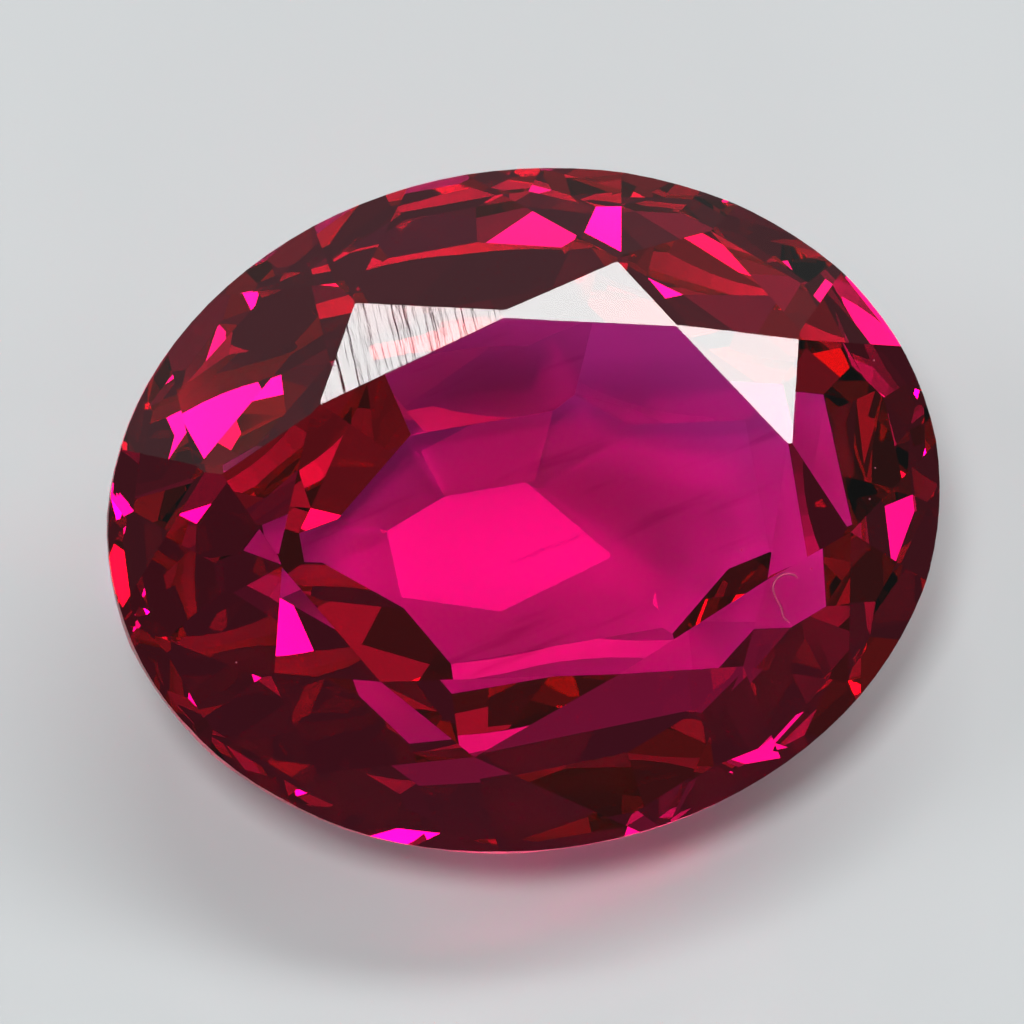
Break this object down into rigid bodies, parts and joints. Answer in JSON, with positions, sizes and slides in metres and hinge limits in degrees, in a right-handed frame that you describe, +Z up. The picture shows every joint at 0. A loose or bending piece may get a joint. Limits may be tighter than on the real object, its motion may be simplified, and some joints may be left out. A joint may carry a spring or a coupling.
{
  "type": "oval faceted spinel",
  "caption": "Oval mixed-cut gemstone with a flat table, brilliant crown and stepped pavilion, lying on a pavilion facet.",
  "frame": {"origin": "on the surface that the stone lies on, below the middle of its bounding box, on the resting facet", "axes": "+Z up, X along the oval's long axis, the table leans towards -Y"},
  "size_m": [0.01, 0.0078, 0.005],
  "materials": {
    "spinel": "polished facets, transparent pinkish red"
  },
  "bodies": {
    "root": {"spinel": "spinel"}
  },
  "joints": []
}
